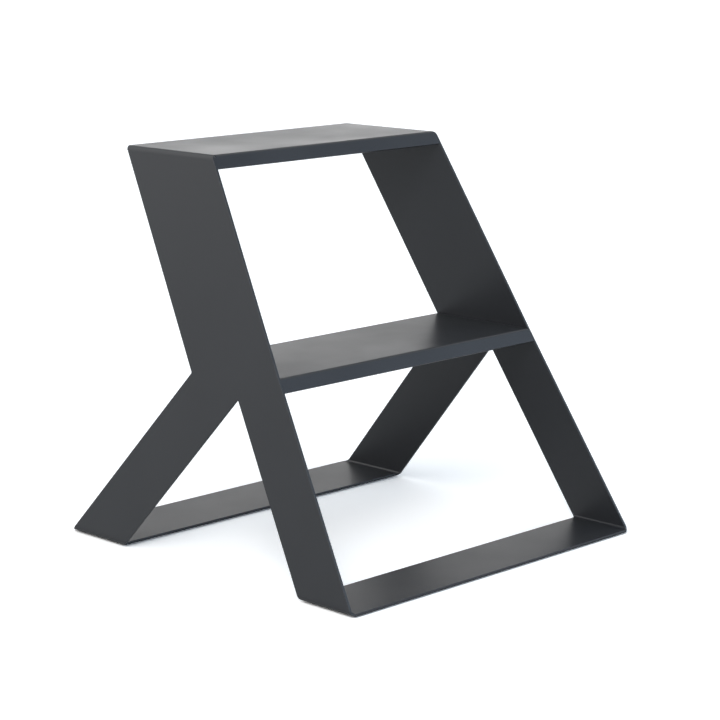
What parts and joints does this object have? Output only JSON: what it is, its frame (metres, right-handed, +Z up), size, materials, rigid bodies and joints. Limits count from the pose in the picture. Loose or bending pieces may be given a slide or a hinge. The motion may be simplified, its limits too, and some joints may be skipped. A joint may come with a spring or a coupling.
{
  "type": "two-step stool",
  "caption": "Open step stool folded and welded from steel sheet: two leaning, splayed side panels, each split into two legs, joined by two flat treads with front lips and two flat foot bars.",
  "frame": {"origin": "on the floor, under the middle of the stool's footprint", "axes": "+X to the right seen from the front, -Y is the front, +Z up"},
  "size_m": [0.4484, 0.467, 0.45],
  "materials": {
    "powder_coat": "satin fine-texture anthracite powder coat on steel sheet",
    "coated_weld": "weld bead under the same anthracite powder coat",
    "floor_rubber": "matt black rubber sheet"
  },
  "bodies": {
    "root": {"left_side_panel": "powder_coat", "right_side_panel": "powder_coat", "top_tread": "powder_coat", "middle_tread": "powder_coat", "front_foot_bar": "powder_coat", "rear_foot_bar": "powder_coat", "middle_tread_weld_left": "coated_weld", "middle_tread_weld_right": "coated_weld", "middle_lip_weld_left": "coated_weld", "middle_lip_weld_right": "coated_weld", "top_lip_weld_left": "coated_weld", "top_lip_weld_right": "coated_weld", "front_floor_pad_left": "floor_rubber", "front_floor_pad_right": "floor_rubber", "rear_floor_pad_left": "floor_rubber", "rear_floor_pad_right": "floor_rubber"}
  },
  "joints": []
}
